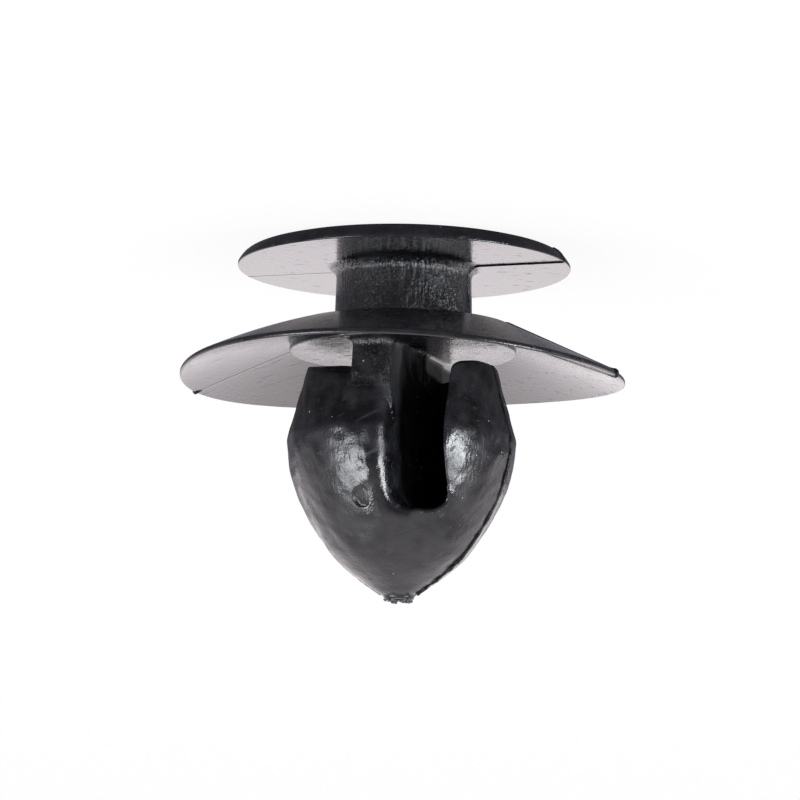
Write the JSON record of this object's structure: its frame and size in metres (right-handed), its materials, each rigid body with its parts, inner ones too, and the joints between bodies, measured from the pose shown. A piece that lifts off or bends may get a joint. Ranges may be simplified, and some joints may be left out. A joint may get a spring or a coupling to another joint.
{
  "type": "door panel clip",
  "caption": "One-piece moulded push-in clip with a flat round head, a short neck, a thin sealing skirt and a slotted acorn-shaped bulb, for holding a door trim panel.",
  "frame": {"origin": "centre of the head's flat top, which the loose clip stands on", "axes": "+Z along the clip's axis from the head to the tip; the two mould halves open along Y and meet in the plane Y = 0, and the web lies along Y"},
  "size_m": [0.02, 0.02, 0.016],
  "materials": {
    "moulding": "semi-gloss black moulded plastic"
  },
  "bodies": {
    "root": {"panel_clip": "moulding"}
  },
  "joints": []
}
